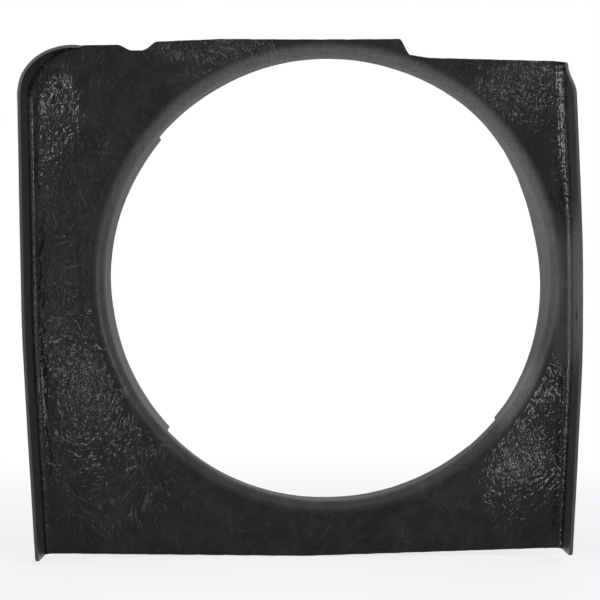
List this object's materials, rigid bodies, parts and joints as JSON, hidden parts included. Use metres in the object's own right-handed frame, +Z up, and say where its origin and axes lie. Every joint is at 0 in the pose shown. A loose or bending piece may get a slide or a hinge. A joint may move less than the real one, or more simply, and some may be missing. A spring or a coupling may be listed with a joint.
{
  "type": "radiator fan shroud",
  "caption": "Moulded radiator fan shroud: flat panel with a round bell-mouth fan ring set to one side and a flange along each side.",
  "frame": {"origin": "on the fan axis, where the bell-mouth ends and the straight fan ring starts", "axes": "+X to the right as seen from the radiator, +Y along the fan axis from the radiator towards the fan, +Z up"},
  "size_m": [0.5383, 0.141, 0.5075],
  "materials": {
    "moulded_shell": "black glass-fibre laminate, glossy, with the strands showing faintly"
  },
  "bodies": {
    "root": {"fan_shroud": "moulded_shell"}
  },
  "joints": []
}
